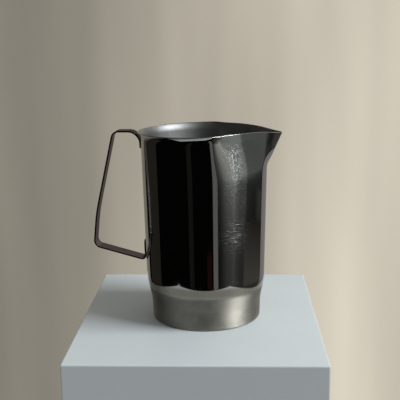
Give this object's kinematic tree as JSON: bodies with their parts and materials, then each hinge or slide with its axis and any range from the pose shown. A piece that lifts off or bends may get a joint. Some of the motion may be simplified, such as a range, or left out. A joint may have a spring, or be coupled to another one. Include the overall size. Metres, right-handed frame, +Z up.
{
  "type": "milk frothing pitcher",
  "caption": "Free-standing steel pitcher with a narrower foot, a slightly tapered wall, a flared rim pressed into a pouring spout, and a welded flat-strip handle.",
  "frame": {"origin": "centre of the flat underside, on the surface that the pitcher stands on", "axes": "+Z up along the axis of the vessel, +X towards the tip of the spout, -X towards the handle, +Y to the left of someone looking along +X"},
  "size_m": [0.1541, 0.1064, 0.155],
  "materials": {
    "polished_steel": "stainless steel, mirror-polished wall with fine scratches, satin foot and inside",
    "handle_steel": "stainless steel strip, polished, edges lightly rounded",
    "weld_steel": "dull spot-weld metal with a faint heat tint"
  },
  "bodies": {
    "root": {"vessel": "polished_steel", "handle": "handle_steel", "weld_upper_right": "weld_steel", "weld_upper_left": "weld_steel", "weld_lower_right": "weld_steel", "weld_lower_left": "weld_steel"}
  },
  "joints": []
}
